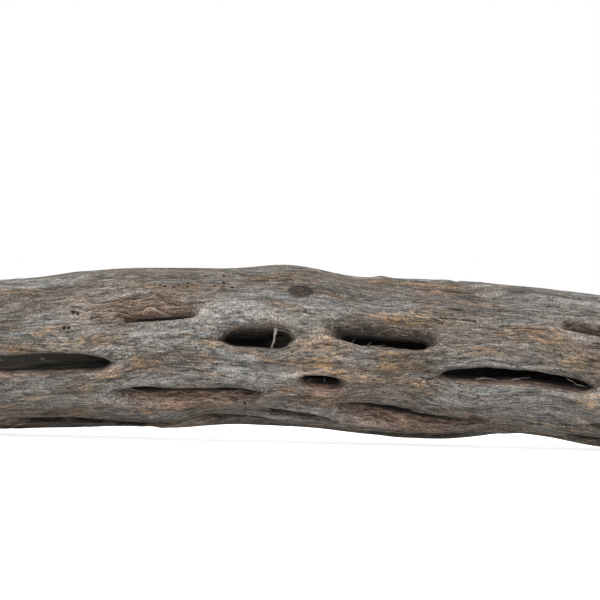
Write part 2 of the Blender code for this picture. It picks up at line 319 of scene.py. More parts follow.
# Point at a radius from the stem's curved centre line: x = place, y = sway - r cos a, z = rise + r sin a
def stemPoint(place, angle, radius):
    y = throughStations(swayStations, place) - radius * np.cos(angle)
    z = stem["baseHeight"] + throughStations(riseStations, place) + radius * np.sin(angle)
    return np.column_stack((place, y, np.maximum(z, 0.0)))


# Share of the full wall behind a rim: a quarter of a superellipse, (1 - (1 - ratio)^n)^(1/n)
def lipShare(ratio, fullness):
    return (1.0 - np.clip(1.0 - ratio, 0.0, 1.0) ** fullness) ** (1.0 / fullness)


# Surface of the wood outside (side 1) or inside (side -1) at grain points: the sheet radius plus or
# minus the wall times the lip share, with the grain's relief. Also returns what the colours need.
def woodPoint(place, angle, bank, side, slits):
    push, lip, ratio, lipWidth = openWindows(place, angle, bank, slits)
    openPlace = place + push.real
    openAngle = angle + push.imag / stem["grainRadius"]
    sheet = sheetRadius(openPlace, openAngle)
    variety = 1.0 + stem["lipVariety"] * grainNoise(place, angle, *stem["lipNoise"])
    fullness = np.interp(lipWidth / mm, stem["lipWidths"], stem["lipFullness"])
    outer = stem["wallOut"] * lipShare(ratio / variety, fullness)
    inner = -stem["wallIn"] * lipShare(lip / (stem["innerLip"] * variety), stem["lipFullness"][0])
    relief = grainRelief(place, angle)
    settled = smoothStep(ratio, 0.0, stem["reliefWhole"])
    outer = outer + relief * (stem["reliefAtRims"] + (1.0 - stem["reliefAtRims"]) * settled)
    inner = inner + stem["reliefInside"] * relief * settled
    radius = sheet + np.where(side > 0, outer, inner)
    toEnd = 0.5 * stemLength - np.abs(place)
    sawReach = stem["sawReach"] * stemLength / stem["columns"]
    radius = radius - np.sign(side) * stem["sawEdge"] * np.clip(1.0 - toEnd / sawReach, 0.0, 1.0)
    depth = sheet + stem["wallOut"] - radius
    return stemPoint(openPlace, openAngle, radius), openPlace, openAngle, depth, relief


# Patches of colour on the front: place, angle, half length, half width, strength
goldPatches = [
    (-79, 16, 4, 1.5, 1), (-66, 7, 9, 1.8, 0.8), (-59, -19.5, 3.6, 1.7, 1), (-67, -30, 4, 1.6, 0.6),
    (-49.5, -11.5, 5.5, 1.8, 0.9), (-88, 3, 4, 1.6, 0.6), (-29, 2, 5, 1, 0.6), (-82, -34, 5, 1, 0.6),
    (7, -10, 9, 3.4, 1), (11, 5, 5, 4, 0.7), (29, -2, 6, 3.6, 0.8), (38, -17, 6, 1.6, 0.8),
    (32, 30, 11, 1.7, 1), (79, 19, 7, 3.2, 0.9), (86, 5, 10, 2.4, 0.6), (91, -26, 5, 3, 0.8),
    (6, -36, 7, 1.5, 0.8), (-4, -30, 4, 2, 0.7), (22, -14, 8, 2, 0.5), (58, 8, 12, 2, 0.5),
    (-36, -44, 7, 1.4, 1), (-47, -51, 6, 1.6, 0.9), (-33, -55, 8, 1, 0.6), (48, 12, 10, 1.6, 0.5),
]
silverPatches = [
    (-18, -14, 17, 5, 0.9), (80, 50, 20, 4.5, 1), (-30, 14, 15, 3.5, 0.7), (2, 25, 12, 5, 0.7),
    (55, -27, 20, 4, 0.6), (-80, -20, 12, 2.5, 0.5), (-20, 30, 10, 3, 0.6), (-60, -14, 8, 2, 0.4),
]
# Reddish brown, where old tissue clings to the windows' walls
brownPatches = [
    (-50, 30, 20, 5, 0.55), (7, -28, 7, 2.5, 0.8), (-34, -41, 22, 2.6, 1), (37, -56, 24, 4, 1),
    (-86, -14, 30, 1.6, 0.7), (69, -17, 24, 1.4, 0.7), (114, 29, 28, 2.4, 1), (-110, -67, 22, 2.5, 0.8),
    (42, 60, 5, 1.5, 1), (106, -49, 14, 3, 0.7), (-88, -72, 10, 3, 0.8), (88, 14, 8, 1.6, 0.5),
]
# Darker wood round the knot, near the windows and in the golden stretch on the right, and painted shade: in
# the dimples, along the upper rims of two windows, and down the lower left slit, where it is a painted black
# crevice. A strength above 1.25 keeps the middle of a patch evenly black.
darkWoodAndShadePatches = [
    (69, 66, 3, 2.2, 0.8), (1, 46, 6, 3, 0.5), (30, -8, 16, 6, 0.42), (88, 10, 14, 6, 0.44),
    (24, 21, 9, 3, 0.7), (48, 62, 8, 2, 0.4), (56, 40, 10, 2.4, 0.3), (-74, 17, 1.8, 1, 0.7),
    (14, 52, 6, 2, 0.5), (10, 38, 8, 2, 0.3), (-18, 11, 8, 2, 0.8), (34, 18, 8, 2.4, 0.6),
    (13, 17, 5, 2.4, 0.6), (-78, -64.5, 9.5, 1.3, 2.2), (-65, -69, 8, 1.1, 1.7),
    (-53, -74, 9, 0.9, 1.6), (-30, -31.5, 24, 1.2, 0.4), (40, -40, 26, 1.2, 0.3),
]
# Layers of torn tissue, on windows' walls
tissuePatches = [
    (-54, 31, 15, 5, 1), (-68, 30, 6, 3, 0.8), (38, -56, 20, 3.5, 0.6), (-33, -42, 18, 2.5, 0.5),
    (112, 33, 22, 2.5, 0.9), (-14, 13, 9, 2, 0.5), (24, 22, 10, 2.2, 0.5), (-110, -64, 30, 3, 0.7),
]
# Inside: painted light, where light from the windows behind falls on the far wall
litPatches = [(-86, 186, 40, 9.0, 1.0), (-5, 178, 5, 6.0, 0.8), (-16, 166, 8, 2.2, 1.0)]
paintedLightAtEnds = (0.100, 0.150, 0.7)  # painted light inside both ends too: from, fully at, how strongly
hiddenPatches = {  # in millimetres and degrees
    "count": 26,
    "seed": 41,
    "reach": 148,  # how far out they lie
    "seenReach": 97,  # how far out the photograph shows the front
    "seenTop": 70,  # angle up to which it does
    "halfLength": (7, 18),
    "halfWidth": (2, 5),
    "strength": (0.4, 0.9),
}


# The largest strength times soft ellipse over the patches
def patchMask(patches, place, angle):
    mask = np.zeros(len(place))
    for *ellipse, strength in patches:
        mask = np.maximum(mask, strength * softEllipse(place, angle, *ellipse))
    return mask


# Like patches for the sides that no list places: drawn at random over the back, top and both ends
def scatterPatches(seed):
    draw = np.random.default_rng(seed)
    patches = []
    for number in range(hiddenPatches["count"]):
        place = draw.uniform(-hiddenPatches["reach"], hiddenPatches["reach"])
        top = hiddenPatches["seenTop"]
        angle = draw.uniform(top if abs(place) < hiddenPatches["seenReach"] else -top, 360 - top)
        rest = [draw.uniform(*hiddenPatches[name]) for name in ("halfLength", "halfWidth", "strength")]
        patches.append((place, angle, *rest))
    return patches


# The grid: numbers of its points as seen by the cells above and below each row, for the outer and the
# inner sheet, then the row, column, bank and side of every point. Slit rows have one point for each bank,
# and both sheets share the points along the rims.
def gridNumbers(slits):
    columns, rows = stem["columns"] + 1, stem["rows"]
    count = columns * rows
    above = np.arange(count).reshape(rows, columns)
    below = above.copy()
    rimMask = np.zeros((rows, columns), dtype=bool)
    rowOf, columnOf = np.divmod(np.arange(2 * count) % count, columns)
    banks = np.zeros(2 * count, dtype=int)
    for number, slit in enumerate(slits):
        row, inside = slit["row"], slit["inside"]
        extra = np.arange(columns)[inside]
        below[row, inside] = len(rowOf) + np.arange(len(extra))
        banks[above[row, inside]] = number + 1
        banks = np.append(banks, np.full(len(extra), -(number + 1)))
        rowOf = np.append(rowOf, np.full(len(extra), row))
        columnOf = np.append(columnOf, extra)
        rimMask[row, slit["rim"]] = True
    side = np.ones(len(rowOf))
    side[count:2 * count] = -1.0
    innerAbove = np.where(rimMask, above, above + count)
    innerBelow = np.where(rimMask, below, below + count)
    return (above, below, innerAbove, innerBelow), (rowOf, columnOf, banks, side)


# Quads whose first, second, third and fourth corners come from four grids of point numbers
def quadsBetween(first, second, third, fourth):
    return np.stack((first, second, third, fourth), axis=-1).reshape(-1, 4)


# The whole wall as one closed mesh: a grid of quads outside, the same grid turned over inside, and
# strips that join both at the sawn ends
def makeWood(slits):
    (above, below, innerAbove, innerBelow), (rowOf, columnOf, banks, side) = gridNumbers(slits)
    place = columnOf * stemLength / stem["columns"] - 0.5 * stemLength
    angle = 2.0 * np.pi * rowOf / stem["rows"]
    points, openPlace, openAngle, depth, relief = woodPoint(place, angle, banks, side, slits)

    upper = np.roll(below, -1, axis=0)
    innerUpper = np.roll(innerBelow, -1, axis=0)
    walls = np.concatenate((
        quadsBetween(above[:, :-1], above[:, 1:], upper[:, 1:], upper[:, :-1]),
        quadsBetween(innerAbove[:, 1:], innerAbove[:, :-1], innerUpper[:, :-1], innerUpper[:, 1:]),
    ))
    ends = np.concatenate((
        quadsBetween(above[:, 0], upper[:, 0], innerUpper[:, 0], innerAbove[:, 0]),
        quadsBetween(upper[:, -1], above[:, -1], innerAbove[:, -1], innerUpper[:, -1]),
    ))

    used, renumbered = np.unique(np.concatenate((walls.ravel(), ends.ravel())), return_inverse=True)
    faces = renumbered.reshape(-1, 4)
    faceList = faces[:len(walls)].tolist()
    for quad in faces[len(walls):].tolist():
        corners = list(dict.fromkeys(quad))  # a strip that starts on a rim is a triangle
        if len(corners) > 2:
            faceList.append(corners)
    mesh = bpy.data.meshes.new("woodWall")
    mesh.from_pydata(points[used].tolist(), [], faceList)
    mesh.polygons.foreach_set("use_smooth", np.ones(len(mesh.polygons), dtype=bool))
    atEnd = np.arange(len(mesh.polygons)) >= len(walls)
    mesh.polygons.foreach_set("material_index", atEnd.astype(np.int32))
    keepSawnEdgesSharp(mesh)
    writeGrain(mesh, place[used], angle[used], openPlace[used], openAngle[used], depth[used], relief[used])
    mesh.update()
    return mesh


# Places of a mesh's points
def pointsOf(mesh):
    spots = np.zeros(3 * len(mesh.vertices))
    mesh.vertices.foreach_get("co", spots)
    return spots.reshape(-1, 3)


# Edges that lie wholly in a sawn face are sharp
def keepSawnEdgesSharp(mesh):
    ends = np.zeros(2 * len(mesh.edges), dtype=np.int32)
    mesh.edges.foreach_get("vertices", ends)
    atEnd = np.abs(pointsOf(mesh)[:, 0]) > 0.5 * stemLength - 0.01 * mm
    sharp = mesh.attributes.new("sharp_edge", "BOOLEAN", "EDGE")
    sharp.data.foreach_set("value", atEnd[ends[0::2]] & atEnd[ends[1::2]])


# One number, a vector or a colour for each point of a mesh, from one, three or four columns
def writeAttribute(mesh, name, *columns):
    kinds = {1: ("FLOAT", "value"), 3: ("FLOAT_VECTOR", "vector"), 4: ("FLOAT_COLOR", "color")}
    kind, field = kinds[len(columns)]
    mesh.attributes.new(name, kind, "POINT").data.foreach_set(field, np.column_stack(columns).ravel())


# What the material reads. grain is where a point lies in the wood before the windows part it, at its
# own depth, so that fibres flow round the windows and go down their walls; its angle swerves with noise.
# tone holds gold, silver and brown patches. The next holds depth over the wall's thickness, which drives the
# painted shade on the windows' walls and inside, the dark patches, and relief, which drives painted shade in
# the furrows. tissue holds the torn layers, and lit the painted light inside.
def writeGrain(mesh, place, angle, openPlace, openAngle, depth, relief):
    for shift, *noise in swirls:
        angle = angle + shift * mm / stem["grainRadius"] * grainNoise(place, angle, *noise)
    radius = stem["grainRadius"] - depth
    writeAttribute(mesh, "grain", place, radius * np.cos(angle), radius * np.sin(angle))
    allGold = goldPatches + scatterPatches(hiddenPatches["seed"])
    allSilver = silverPatches + scatterPatches(hiddenPatches["seed"] + 1)
    gold, silver, brown, dark, tissue, lit = (
        patchMask(patches, openPlace, openAngle)
        for patches in (allGold, allSilver, brownPatches, darkWoodAndShadePatches, tissuePatches, litPatches))
    opaque = np.ones(len(place))
    writeAttribute(mesh, "tone", gold, silver, brown, opaque)
    thickness = np.clip(depth / (stem["wallOut"] + stem["wallIn"]), 0.0, 1.0)
    writeAttribute(mesh, "shadeDepthAndRelief", thickness, dark, np.clip(0.5 + relief / reliefRange, 0.0, 1.0), opaque)
    writeAttribute(mesh, "tissue", tissue)
    start, end, share = paintedLightAtEnds
    writeAttribute(mesh, "lit", np.maximum(lit, share * smoothStep(np.abs(openPlace), start, end)))


# A new object in the scene
def addObject(name, data):
    thing = bpy.data.objects.new(name, data)
    bpy.context.scene.collection.objects.link(thing)
    return thing


# A new material with its node tree and its Principled shader
def newMaterial(name):
    material = bpy.data.materials.new(name)
    material.use_nodes = True
    tree = material.node_tree
    return material, tree, tree.nodes["Principled BSDF"]


# Inputs of a node, by name or number: a value is set, and a socket is linked
def setInputs(node, inputs):
    for name, value in inputs.items():
        if isinstance(value, bpy.types.NodeSocket):
            node.id_data.links.new(value, node.inputs[name])
        else:
            node.inputs[name].default_value = value


# A node with its inputs and settings
def addNode(tree, kind, inputs={}, **settings):
    node = tree.nodes.new("ShaderNode" + kind)
    for name, value in settings.items():
        setattr(node, name, value)
    setInputs(node, inputs)
    return node


# The node tree that the first socket among some values belongs to
def treeOf(*values):
    return next(value.id_data for value in values if isinstance(value, bpy.types.NodeSocket))


# An attribute of the mesh
def readAttribute(tree, name, output="Fac"):
    return addNode(tree, "Attribute", attribute_name=name).outputs[output]


# The three channels of a colour attribute
def readChannels(tree, name):
    return addNode(tree, "SeparateColor", {"Color": readAttribute(tree, name, "Color")}).outputs


# Noise stretched along the grain: the number of features in a metre along and across it
def grainTexture(vector, along, across, detail=3.0, roughness=0.55, distortion=0.0):
    tree = vector.id_data
    mapping = addNode(tree, "Mapping", {"Vector": vector, "Scale": (along, across, across)})
    noise = {"Vector": mapping.outputs["Vector"], "Scale": 1.0, "Detail": detail, "Roughness": roughness,
             "Distortion": distortion}
    return addNode(tree, "TexNoise", noise).outputs["Fac"]


# A Math node, whose inputs are numbers or sockets
def mathNode(operation, *values, clamp=False):
    node = addNode(treeOf(*values), "Math", dict(enumerate(values)), operation=operation, use_clamp=clamp)
    return node.outputs[0]


# Product of two values
def times(first, second):
    return mathNode("MULTIPLY", first, second)


# A Vector Math node, which gives a vector or, for a length, distance or dot product, a number
def vectorNode(operation, *values):
    node = addNode(treeOf(*values), "VectorMath", dict(enumerate(values)), operation=operation)
    return node.outputs["Value" if operation in ("LENGTH", "DISTANCE", "DOT_PRODUCT") else "Vector"]


# A value carried from one range to another, held at its ends
def remap(value, fromLow, fromHigh, toLow=0.0, toHigh=1.0, smooth=False):
    ends = {"Value": value, "From Min": fromLow, "From Max": fromHigh, "To Min": toLow, "To Max": toHigh}
    kind = "SMOOTHSTEP" if smooth else "LINEAR"
    return addNode(value.id_data, "MapRange", ends, interpolation_type=kind).outputs["Result"]


# First colour turning into the second as the factor goes from 0 to 1, or a blend of both
def mixColour(factor, first, second, blend="MIX"):
    first, second = ((*colour, 1.0) if isinstance(colour, tuple) else colour for colour in (first, second))
    tree = treeOf(factor, first, second)
    node = addNode(tree, "Mix", data_type="RGBA", blend_type=blend, clamp_factor=True)
    setInputs(node, {0: factor, 6: first, 7: second})
    return node.outputs[2]


# A colour multiplied by a grey tone
def shade(colour, tone):
    grey = addNode(tone.id_data, "CombineColor", {0: tone, 1: tone, 2: tone}).outputs["Color"]
    return mixColour(1.0, colour, grey, "MULTIPLY")


# Colours of the wood laid over a colour one after the other, each by its share
def layered(colour, *layers):
    for share, name in layers:
        colour = mixColour(share, colour, woodFinish[name])
    return colour


woodFinish = {
    "taupe": (0.144, 0.118, 0.097),
    "silver": (0.191, 0.185, 0.174),
    "gold": (0.300, 0.182, 0.092),
    "fibrePale": (0.42, 0.395, 0.36),
    # dark fibres and cracks, and the painted shadow under the tissue's layers
    "darkFibreAndShadow": (0.020, 0.017, 0.014),
    "wallBrownShade": (0.070, 0.050, 0.038),  # painted shade on the walls of the windows, over their brown wood
    "tissueBrown": (0.250, 0.160, 0.118),  # old tissue on them
    "flakeHighlight": (0.360, 0.280, 0.215),  # painted highlight on the edges of its layers
    "layers": 420,  # layers of tissue in a metre
    # painted shade on the inside of the tube
    "insideShade": (0.024, 0.020, 0.017),
    "litWood": (0.270, 0.246, 0.212),  # painted light on the wood inside
    "knotDark": (0.020, 0.015, 0.012),
    "knotPale": (0.105, 0.078, 0.058),
    # painted shade that fills the bored holes
    "holeShade": (0.012, 0.009, 0.007),
    "knot": (0.0, 46.4),  # place and angle of the knot, in millimetres and degrees
    "knotSize": (3.2, 1.9),  # its half length and half width, in millimetres
    "roughness": (0.78, 0.94),
    "specular": 0.28,
    "bumpStrength": 0.85,
    "bumpDepth": 0.00050,
}
# Noise on the grain: features in a metre along and across it, detail, roughness and distortion
grainPatterns = {
    "broad": (26, 130, 3.0, 0.55, 0.3),
    "patchy": (48, 330, 4.0, 0.6, 0.4),
    "streak": (75, 640, 3.0, 0.6, 0.3),
    "dash": (310, 1400, 4.0, 0.65, 0.4),
    "grit": (1700, 2900, 2.0, 0.6),
    "thread": (170, 2300, 2.0, 0.5, 0.2),
    "check": (38, 620, 3.0, 0.5, 0.4),
    "line": (80, 1500, 2.0, 0.5, 0.3),
}
# Bored holes: place, angle, radius in millimetres
boredHoles = [
    (-44.8, 50.5, 0.60), (-42.3, 48.5, 0.65), (-39.7, 48, 0.58), (-37.9, 50.5, 0.52), (-34.9, 52, 0.55),
    (-34.9, 48, 0.62), (-27.7, 48, 0.66), (-24.6, 52, 0.68), (-24.5, 48, 0.55), (-21, 47, 0.56),
    (-40.3, 60, 0.45), (-30.4, 60, 0.46), (-24.5, 61, 0.56), (-74.2, 17, 0.70), (-71.2, 30, 0.85),
    (-72.6, 17.5, 0.60), (-70, 29.2, 0.60), (-16, -47, 0.55), (-52, 150, 0.65), (30, 120, 0.60),
    (96, 190, 0.60),
]
# Fissures: from a place and angle to another, and half width in millimetres
fissures = [
    (36.8, -16.2, 39.4, -13.9, 0.26), (40.2, -12.9, 44.2, -11.3, 0.22), (-72, 34, -58, 38, 0.16),
    (-66, 26, -60, 24.5, 0.22), (44, 32, 56, 30, 0.18), (-118, -8, -104, -12, 0.2),
]


# Colour, bump and roughness of a wood
def finishWood(shader, finish, colour, height, roughness):
    bump = addNode(shader.id_data, "Bump", {"Height": height, "Strength": finish["bumpStrength"],
                                            "Distance": finish["bumpDepth"]})
    setInputs(shader, {"Base Color": colour, "Normal": bump.outputs["Normal"], "Roughness": roughness})


# Nearest mesh point to each place and angle on the outer surface
def surfaceSpots(mesh, targets):
    spots = pointsOf(mesh)
    places, degrees = np.array([target[:2] for target in targets]).T
    outside = stemPoint(places * mm, np.radians(degrees), throughStations(radiusStations, places * mm))
    nearest = [np.argmin(np.sum((spots - point) ** 2, axis=1)) for point in outside]
    return spots[nearest]


# Smallest of some distances, each over its own size
def smallestShare(distances, sizes):
    shares = [mathNode("DIVIDE", distance, float(size)) for distance, size in zip(distances, sizes)]
    smallest = shares[0]
    for share in shares[1:]:
        smallest = mathNode("MINIMUM", smallest, share)
    return smallest


# Distances from the point being shaded to the lines between the spots: its offset from a line's start,
# less that offset's share along the line, held between 0 and 1, times the line
def lineDistances(coordinates, starts, ends):
    distances = []
    for start, end in zip(starts, ends):
        run = end - start
        offset = vectorNode("SUBTRACT", coordinates, tuple(start))
        share = vectorNode("DOT_PRODUCT", offset, tuple(run / np.dot(run, run)))
        held = mathNode("ADD", share, 0.0, clamp=True)
        along = addNode(held.id_data, "VectorMath", operation="SCALE")
        setInputs(along, {0: tuple(run), "Scale": held})
        distances.append(vectorNode("DISTANCE", offset, along.outputs["Vector"]))
    return distances


# Oval distance from the knot's middle, 1 on its edge
def knotDistance(coordinates, spot):
    halfLength, halfWidth = woodFinish["knotSize"]
    perLength, perWidth = 1.0 / (halfLength * mm), 1.0 / (halfWidth * mm)
    offset = vectorNode("SUBTRACT", coordinates, tuple(spot))
    return vectorNode("LENGTH", vectorNode("MULTIPLY", offset, (perLength, perWidth, perWidth)))


# Layers of torn tissue: the fraction of height times layers, bent by two sizes of noise. Each layer rises
# to a pale edge, a painted highlight, and drops to a dark gap, a painted shadow under the layer above.
def tissueLayers(position):
    wide = grainTexture(position, 95, 95, 1.0, 0.5)
    fine = grainTexture(position, 420, 420, 2.0, 0.6)
    height = addNode(position.id_data, "SeparateXYZ", {0: position}).outputs["Z"]
    bend = mathNode("MULTIPLY_ADD", wide, 4.5, times(fine, 0.7))
    step = mathNode("FRACT", mathNode("MULTIPLY_ADD", height, float(woodFinish["layers"]), bend))
    edge = times(remap(step, 0.78, 0.88), remap(fine, 0.38, 0.46))
    gap = remap(step, 0.04, 0.26, 0.95, 0.0)
    return step, edge, gap


# Weathered wood: broad patches of taupe, silver and gold, streaks, dashes and grit along the grain, thin
# dark checks, brown walls darkened with painted shade and torn tissue with painted highlights and shadows
# in the windows, an inside painted dark as shade or pale with painted light, a speckled knot, bored holes
# filled with painted shade, and fissures
def weatheredWood(mesh):
    material, tree, shader = newMaterial("weatheredWood")
    grain = readAttribute(tree, "grain", "Vector")
    gold, silver, brown = readChannels(tree, "tone")
    depth, dark, crest = readChannels(tree, "shadeDepthAndRelief")
    tissue, lit = readAttribute(tree, "tissue"), readAttribute(tree, "lit")
    position = addNode(tree, "TexCoord").outputs["Object"]
    broad, patchy, streak, dash, grit, thread, check, line = (
        grainTexture(grain, *sizes) for sizes in grainPatterns.values())
    speck = grainTexture(position, 2200, 2200, 3.0, 0.7)

    # broad colours
    silverShare = mathNode("ADD", remap(broad, 0.42, 0.62), silver, clamp=True)
    goldNoise = remap(patchy, 0.55, 0.70, 0.0, 0.55)
    goldShare = mathNode("MULTIPLY_ADD", gold, remap(dash, 0.44, 0.58, 0.1, 1.05), goldNoise, clamp=True)
    clinging = times(brown, remap(dash, 0.34, 0.56, 0.45, 1.0))
    # the windows' walls turn dark brown with depth: painted shade over their brown wood
    colour = layered(woodFinish["taupe"], (silverShare, "silver"), (goldShare, "gold"),
                     (remap(depth, 0.05, 0.34, 0.0, 0.92), "wallBrownShade"), (clinging, "tissueBrown"))

    # tones of the grain, and painted shade from the relief: darker in its furrows, lighter on its ridges
    tones = remap(streak, 0.30, 0.70, 0.62, 1.38)
    for pattern, *ends in ((dash, 0.28, 0.72, 0.28, 1.72), (grit, 0.28, 0.72, 0.35, 1.65),
                           (crest, 0.0, 1.0, 0.72, 1.22)):
        tones = times(tones, remap(pattern, *ends))
    colour = shade(colour, tones)

    # pale and dark threads, cracks where noise crosses its middle, and the torn tissue's layers, each with a
    # painted highlight on its edge and a painted shadow under it
    paleShare = times(remap(thread, 0.60, 0.70, 0.0, 0.8), remap(grit, 0.42, 0.56))
    darkShare = times(remap(thread, 0.40, 0.31, 0.0, 0.9), remap(dash, 0.60, 0.44))
    cracks = [remap(mathNode("ABSOLUTE", mathNode("SUBTRACT", pattern, 0.5)), 0.0, width, 1.0, 0.0)
              for pattern, width in ((check, 0.020), (line, 0.026))]
    crack = times(mathNode("MAXIMUM", *cracks), remap(patchy, 0.44, 0.56))
    step, layerHighlight, layerShadow = tissueLayers(position)
    colour = layered(colour, (paleShare, "fibrePale"), (darkShare, "darkFibreAndShadow"),
                     (times(crack, 0.85), "darkFibreAndShadow"), (times(layerShadow, tissue), "darkFibreAndShadow"),
                     (times(layerHighlight, tissue), "flakeHighlight"))
    # dark patches: darker wood, and painted shade in the dimples, along rims and down the lower left slit
    colour = shade(colour, remap(dark, 0.0, 1.25, 1.0, 0.10))

    # the inside: painted shade, lifted by painted light where light from the windows behind falls
    insideColour = mixColour(lit, woodFinish["insideShade"], woodFinish["litWood"])
    insideColour = shade(insideColour, remap(streak, 0.3, 0.7, 0.6, 1.4))
    colour = mixColour(remap(depth, 0.43, 0.58), colour, insideColour)

    # knot, bored holes filled with painted shade and given a golden edge, and fissures
    knot = knotDistance(position, surfaceSpots(mesh, [woodFinish["knot"]])[0])
    knotShare = remap(knot, 0.85, 1.15, 1.0, 0.0, True)
    knotRing = times(remap(knot, 0.8, 1.05, 0.0, 1.0, True), remap(knot, 1.15, 1.5, 1.0, 0.0, True))
    knotSpeckle = remap(speck, 0.42, 0.60)
    knotColour = mixColour(knotSpeckle, woodFinish["knotDark"], woodFinish["knotPale"])
    colour = mixColour(knotShare, colour, knotColour)
    holeDistances = [vectorNode("DISTANCE", position, tuple(spot)) for spot in surfaceSpots(mesh, boredHoles)]
    hole = smallestShare(holeDistances, [row[2] * mm for row in boredHoles])
    holeShare = remap(hole, 0.75, 1.05, 1.0, 0.0, True)
    starts, ends = (surfaceSpots(mesh, [row[first:first + 2] for row in fissures]) for first in (0, 2))
    split = smallestShare(lineDistances(position, starts, ends), [row[4] * mm for row in fissures])
    split = mathNode("ADD", split, remap(dash, 0.35, 0.65, -0.9, 0.9))
    split = mathNode("ADD", split, remap(speck, 0.3, 0.7, -0.5, 0.5))
    splitShare = remap(split, 0.5, 1.9, 0.95, 0.0, True)
    colour = layered(colour, (times(knotRing, 0.8), "darkFibreAndShadow"),
                     (remap(hole, 1.0, 2.2, 0.22, 0.0, True), "gold"), (holeShare, "holeShade"),
                     (splitShare, "darkFibreAndShadow"))

    # bump: each pattern's height times its share
    height = times(dash, 0.9)
    for pattern, share in ((streak, 0.5), (grit, 0.5), (thread, 0.3), (crack, -0.55),
                           (times(step, tissue), 2.6), (holeShare, -0.9), (splitShare, -0.8),
                           (times(knotShare, knotSpeckle), 0.35), (knotRing, -0.45)):
        height = mathNode("MULTIPLY_ADD", pattern, share, height)
    finishWood(shader, woodFinish, colour, height, remap(dash, 0.3, 0.7, *woodFinish["roughness"]))
    shader.inputs["Specular IOR Level"].default_value = woodFinish["specular"]
    return material


sawnFinish = {
    "wood": (0.33, 0.245, 0.160),
    "pore": (0.060, 0.042, 0.028),
    "grey": (0.17, 0.150, 0.128),
    "edge": (0.070, 0.056, 0.045),
    "ringWidth": 0.0013,
    "ringBend": 0.0060,  # how far noise bends the rings
    "rays": 42,  # coarseness of the rays
    "roughness": 0.85,
    "bumpStrength": 0.8,
    "bumpDepth": 0.0004,
}


# Sawn end: rings round the stem bent by noise, rays out from its middle, pores, greying in patches, and
# dark weathered edges outside and inside
def sawnWood():
    material, tree, shader = newMaterial("sawnWood")
    position = addNode(tree, "TexCoord").outputs["Object"]
    pores = grainTexture(position, 1, 2100, 3.0, 0.7)
    patches = grainTexture(position, 1, 150, 4.0, 0.6)
    endHeight = stem["baseHeight"] + throughStations(riseStations, np.array([0.5 * stemLength]))[0]
    centred = addNode(tree, "Mapping", {"Vector": position, "Location": (0.0, 0.0, -endHeight),
                                        "Scale": (0.0, 1.0, 1.0)}).outputs["Vector"]
    rays = grainTexture(vectorNode("NORMALIZE", centred), sawnFinish["rays"], sawnFinish["rays"], 3.0, 0.7)
    wobble = mathNode("MULTIPLY_ADD", patches, sawnFinish["ringBend"], vectorNode("LENGTH", centred))
    ring = mathNode("SINE", times(wobble, 2.0 * np.pi / sawnFinish["ringWidth"]))
    tones = times(remap(ring, -1.0, 1.0, 0.66, 1.14), remap(rays, 0.35, 0.65, 0.60, 1.25))
    colour = shade(mixColour(remap(patches, 0.42, 0.58), sawnFinish["wood"], sawnFinish["grey"]), tones)
    colour = mixColour(remap(pores, 0.52, 0.62, 0.0, 0.9), colour, sawnFinish["pore"])
    fromMiddle = mathNode("ABSOLUTE", mathNode("SUBTRACT", readChannels(tree, "shadeDepthAndRelief")[0], 0.5))
    fromMiddle = mathNode("MULTIPLY_ADD", patches, 0.35, fromMiddle)
    colour = mixColour(remap(fromMiddle, 0.48, 0.62, 0.0, 0.9, True), colour, sawnFinish["edge"])
    height = mathNode("MULTIPLY_ADD", rays, 0.6, mathNode("SUBTRACT", 1.0, pores))
    finishWood(shader, sawnFinish, colour, height, sawnFinish["roughness"])
    return material


slits = gridSlits()
woodMesh = makeWood(slits)
woodMesh.materials.append(weatheredWood(woodMesh))
woodMesh.materials.append(sawnWood())
wood = addObject("woodWall", woodMesh)
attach(wood, "root")
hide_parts("cholla_skeleton")
print("wood wall:", len(woodMesh.vertices), "points")


looseFibres = {
    "count": 90,
    "points": 9,
    "length": (0.004, 0.012),  # shortest and longest
    "thickness": (0.00008, 0.00018),
    "lift": (0.0002, 0.0011),  # how far the free end stands off
    "places": (-0.145, 0.140),  # where along the stem their roots may be
    "angles": (-1.4, 4.9),  # where round it, in radians
    "rimShare": 0.55,  # part of them that hang on window rims
    "alongRim": (-0.9, 0.6),  # where along a rim, over half its length
    "besideRim": (0.010, 0.05),  # how far from the slit, in radians
    "lastRoot": 0.138,  # no root on a rim lies further right
    "reach": 0.148,  # and no point further out
    "drift": 0.02,  # how far they turn off the grain, in radians
    "seed": 77,
    "colour": (0.30, 0.27, 0.23),
    "roughness": 0.8,
}
# Fibres placed one by one: place and angle of the root and of the tip, how deep both lie in the windows,
# half thickness and how far they wriggle, in millimetres
placedFibres = [
    (-7.6, 15, -8.1, -2.4, 1.5, 0.46, 0.45),
    (-81.4, -1.8, -79.6, -5.4, 0.6, 0.09, 0.5), (-96, -2, -92.5, -4, 0.5, 0.07, 0.4),
    (-20.6, -36.5, -17.6, -32.6, 0.6, 0.08, 0.4), (-58, -37.5, -55.6, -34, 0.4, 0.08, 0.4),
    (16.4, 8, 17.6, 12.4, 0.8, 0.08, 0.3), (21.2, 7.4, 22.6, 11.2, 0.8, 0.08, 0.4),
    (24, 7.6, 27.4, 9.4, 0.7, 0.08, 0.3), (30, 20.5, 34, 17.5, 0.9, 0.08, 0.5),
    (55.5, -15.5, 58.5, -12.6, 1.2, 0.08, 0.5), (56, -13.4, 63, -16.2, 1.3, 0.08, 0.5),
    (67, -15.8, 73, -12, 1.4, 0.10, 0.4), (84, -10, 90, -14.2, 0.8, 0.08, 0.4),
    (-73.5, 34, -66, 27.5, 0.3, 0.11, 0.6), (-60, -6.5, -57.5, -11.5, 0.4, 0.07, 0.3),
    (8, -19.6, 8.6, -22.4, 0.6, 0.08, 0.2), (3, -22.8, 4.4, -20.6, 0.6, 0.08, 0.2),
]


# Directions out of the stem and round it at some angles
def directionsAt(angle):
    none = np.zeros(len(angle))
    outward = np.column_stack((none, -np.cos(angle), np.sin(angle)))
    return outward, np.column_stack((none, np.sin(angle), np.cos(angle)))


